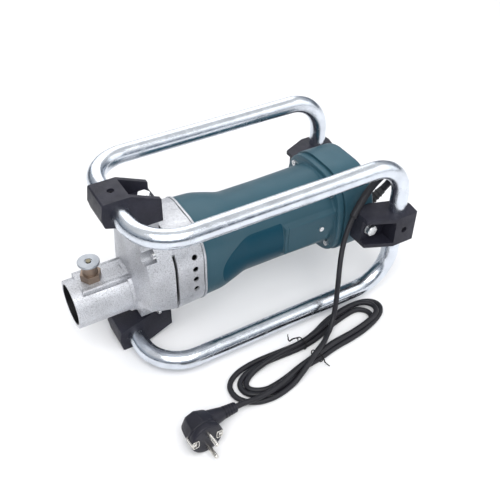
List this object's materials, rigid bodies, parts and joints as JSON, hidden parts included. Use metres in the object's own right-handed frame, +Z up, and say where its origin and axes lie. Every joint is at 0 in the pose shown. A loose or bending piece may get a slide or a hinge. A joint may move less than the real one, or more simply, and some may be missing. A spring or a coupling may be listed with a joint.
{
  "type": "concrete vibrator drive unit",
  "caption": "Portable electric drive unit for a poker vibrator: geared motor with a coupling nose in a bent tube carrying cage, with mains lead and plug.",
  "frame": {"origin": "middle of the machine's base, without the free lead, on the surface that it stands on", "axes": "+X to the rear along the motor axis, -X out of the coupling nose, +Z up, the lead on the -Y side"},
  "size_m": [0.4293, 0.3225, 0.221],
  "materials": {
    "cast_aluminium": "grained casting",
    "cast_aluminium_ring": "grained casting",
    "housing_plastic": "satin moulded",
    "cover_plastic": "satin moulded",
    "label_film": "dark satin film",
    "bracket_nylon": "moulded, fine texture",
    "zinc_tube": "bright zinc plate",
    "zinc_fasteners": "zinc plate",
    "black_steel": "blackened",
    "black_plastic": "matte",
    "rocker_plastic": "matte",
    "bearing_steel": "ground",
    "seal_rubber": "matte",
    "core_steel": "laminated",
    "winding_copper": "lacquered",
    "holder_brass": "plain",
    "brush_carbon": "dull",
    "lock_bronze": "oxidised",
    "pin_brass": "turned",
    "knob_zinc": "zinc plate",
    "spring_steel": "plain",
    "shaft_steel": "ground",
    "cord_rubber": "matte",
    "plug_rubber": "matte, moulded",
    "pin_nickel": "nickel plate",
    "tie_plastic": "matte"
  },
  "bodies": {
    "housing": {"gear_case": "cast_aluminium", "gear_case_screws": "zinc_fasteners", "bearing_plate": "cast_aluminium", "air_baffle": "black_plastic", "vent_ring": "cast_aluminium_ring", "motor_housing": "housing_plastic", "label_plates": "label_film", "side_screws": "zinc_fasteners", "rear_cover": "cover_plastic", "rear_cover_screws": "zinc_fasteners", "front_top_bracket": "bracket_nylon", "front_bottom_bracket": "bracket_nylon", "rear_left_bracket": "bracket_nylon", "rear_right_bracket": "bracket_nylon", "bracket_bolts": "zinc_fasteners", "bracket_washers": "zinc_fasteners", "bracket_set_screws": "black_steel", "top_frame_tube": "zinc_tube", "bottom_frame_tube": "zinc_tube", "tube_joiners": "zinc_fasteners", "spindle_bearings": "bearing_steel", "rotor_bearings": "bearing_steel", "spindle_seal": "seal_rubber", "stator_core": "core_steel", "field_windings": "winding_copper", "brush_holders": "holder_brass", "carbon_brushes": "brush_carbon", "lock_body": "lock_bronze", "lock_cap": "lock_bronze", "lock_spring": "spring_steel", "switch_body": "black_plastic", "strain_relief": "seal_rubber", "power_cord": "cord_rubber", "cord_guard": "seal_rubber", "cord_hank": "cord_rubber", "plug_lead": "cord_rubber", "plug_body": "plug_rubber", "plug_pins": "pin_nickel", "plug_earth_clips": "pin_nickel", "twist_ties": "tie_plastic"},
    "rotor": {"rotor_shaft": "shaft_steel", "rotor_core": "core_steel", "rotor_windings": "winding_copper", "commutator": "winding_copper", "cooling_fan": "black_plastic", "drive_pinion": "shaft_steel"},
    "spindle": {"output_spindle": "shaft_steel", "output_gear": "shaft_steel"},
    "lock_plunger": {"lock_pin": "pin_brass", "pull_knob": "knob_zinc"},
    "switch_rocker": {"switch_rocker": "rocker_plastic"}
  },
  "joints": [
    {"name": "rotor_spin", "type": "hinge", "parent": "housing", "child": "rotor", "pos_m": [0.0067, 0, 0.109], "axis": [1, 0, 0], "continuous": true},
    {"name": "spindle_spin", "type": "hinge", "parent": "housing", "child": "spindle", "pos_m": [-0.1433, 0, 0.084], "axis": [1, 0, 0], "continuous": true},
    {"name": "lock_pull", "type": "slide", "parent": "housing", "child": "lock_plunger", "axis": [0, 0, 1], "range_m": [0, 0.006], "stiffness_N_per_m": 1200, "springref_m": -0.006, "deforming": ["lock_spring"]},
    {"name": "switch_rock", "type": "hinge", "parent": "housing", "child": "switch_rocker", "pos_m": [0.1692, 0, 0.109], "axis": [0, 1, 0], "range_deg": [-18, 0]}
  ],
  "couplings": [
    {"joint": "spindle_spin", "follows": "rotor_spin", "ratio": -0.33333}
  ]
}
